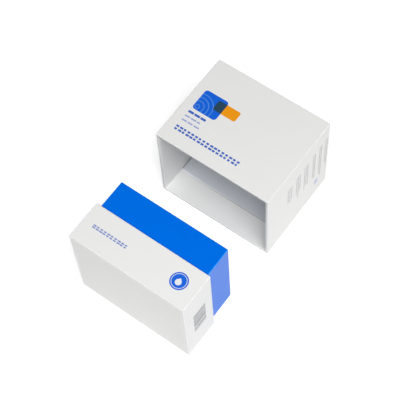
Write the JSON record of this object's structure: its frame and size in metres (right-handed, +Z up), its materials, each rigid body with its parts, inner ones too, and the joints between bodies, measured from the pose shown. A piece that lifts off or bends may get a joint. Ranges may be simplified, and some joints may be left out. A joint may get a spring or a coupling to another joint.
{
  "type": "ampoule packaging box",
  "caption": "Rigid two-piece carton for ampoules: a shallow base with a blue neck standing in it and a deep lid that slides over the neck, shown opened, both halves lying on their backs.",
  "frame": {"origin": "on the surface that both halves lie on, under the middle of the pair", "axes": "+Y from the base's foot towards the lid's closed end, +X across the carton, +Z up from the backs to the printed fronts"},
  "size_m": [0.1, 0.1816, 0.084],
  "materials": {
    "white_paper": "printed white paper under a satin film, with plain fields of colour",
    "blue_paper": "bright blue paper with a soft gloss",
    "lined_greyboard": "matt greyboard lined with thin cool-white paper on the inside",
    "neck_greyboard": "matt greyboard lined with thin cool-white paper on the inside"
  },
  "bodies": {
    "base": {"base_board": "lined_greyboard", "base_wrap": "white_paper", "neck_board": "neck_greyboard", "neck_wrap": "blue_paper"},
    "lid": {"lid_board": "lined_greyboard", "lid_wrap": "white_paper"}
  },
  "joints": [
    {"name": "lid_slide", "type": "slide", "parent": "base", "child": "lid", "axis": [0, 1, 0], "range_m": [-0.0692, 0]}
  ]
}
